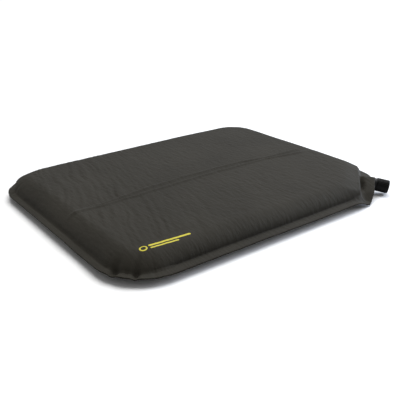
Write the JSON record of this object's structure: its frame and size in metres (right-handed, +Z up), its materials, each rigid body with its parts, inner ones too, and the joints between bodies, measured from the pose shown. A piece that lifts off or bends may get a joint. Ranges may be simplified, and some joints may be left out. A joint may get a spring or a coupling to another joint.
{
  "type": "self-inflating foam seat pad",
  "caption": "Rounded rectangular self-inflating foam pad with a welded flange, and a screw-cap twist valve in one cut corner.",
  "frame": {"origin": "on the floor under the middle of the pad", "axes": "+Z up, +X along the length towards the end with the valve, +Y across the width, away from the valve's corner"},
  "size_m": [0.406, 0.33, 0.0261],
  "materials": {
    "cover_fabric": "matte",
    "airtight_film": "satin",
    "open_cell_foam": "matte",
    "print_ink": "matte",
    "valve_plastic": "satin",
    "cap_plastic": "satin",
    "seal_rubber": "matte"
  },
  "bodies": {
    "pad": {"top_cover": "cover_fabric", "bottom_cover": "cover_fabric", "top_film": "airtight_film", "bottom_film": "airtight_film", "foam_core": "open_cell_foam", "printed_mark": "print_ink", "valve_body": "valve_plastic", "valve_core": "valve_plastic", "plug_seal": "seal_rubber", "stem_seal": "seal_rubber"},
    "cap_carrier": {"retainer_ring": "valve_plastic"},
    "cap": {"valve_cap": "cap_plastic"}
  },
  "joints": [
    {"name": "cap_travel", "type": "slide", "parent": "pad", "child": "cap_carrier", "axis": [0.6266, -0.7609, -0.1685], "range_m": [0, 0.0024]},
    {"name": "cap_turn", "type": "hinge", "parent": "cap_carrier", "child": "cap", "pos_m": [0.17199, -0.14063, 0.0123], "axis": [0.6266, -0.7609, -0.1685], "range_deg": [0, 360]}
  ],
  "couplings": [
    {"joint": "cap_turn", "follows": "cap_travel", "rad_per_m": 2618}
  ]
}
